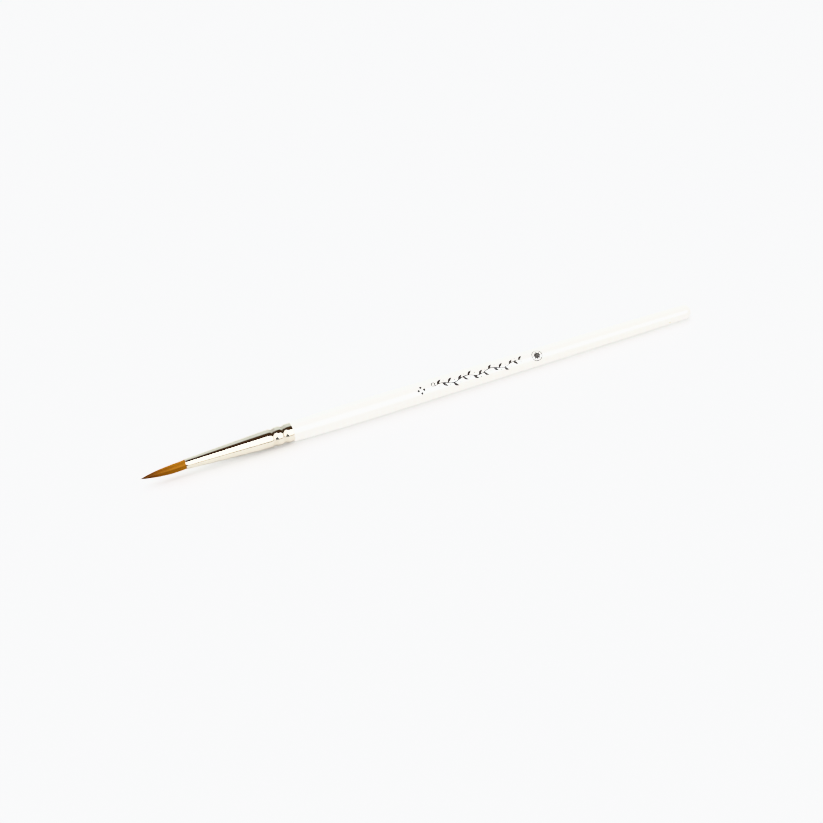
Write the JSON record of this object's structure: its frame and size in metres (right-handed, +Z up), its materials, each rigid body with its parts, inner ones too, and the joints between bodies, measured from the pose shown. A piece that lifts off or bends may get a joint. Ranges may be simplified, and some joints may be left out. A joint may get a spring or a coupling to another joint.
{
  "type": "fine detail brush",
  "caption": "Small round artist's brush: a pointed natural hair tuft, a tapered plated ferrule with rolled crimps, and a slim white lacquered handle with a round end.",
  "frame": {"origin": "middle of the brush's length, below its axis, level with the lowest point of the handle's belly", "axes": "+X along the brush from the tip of the hair to the end of the handle, +Z up, brush lying level"},
  "size_m": [0.19, 0.0068, 0.0068],
  "materials": {
    "wood": "turned and sanded",
    "white_lacquer": "gloss lacquer",
    "nickel_plate": "polished nickel plate",
    "glue": "set glue",
    "resin": "clear amber resin",
    "thread": "twisted thread",
    "hair": "smooth natural hair"
  },
  "bodies": {
    "brush": {"handle_core": "wood", "handle_lacquer": "white_lacquer", "ferrule": "nickel_plate", "tenon_glue": "glue", "root_resin": "resin", "binding_thread": "thread", "hair_roots": "hair"},
    "tuft": {"hair_tuft": "hair"}
  },
  "joints": [
    {"name": "tuft_flex", "type": "hinge", "parent": "brush", "child": "tuft", "pos_m": [-0.0813, 0, 0.0034], "axis": [0, 1, 0], "range_deg": [-40, 40], "stiffness_Nm_per_rad": 0.002}
  ]
}
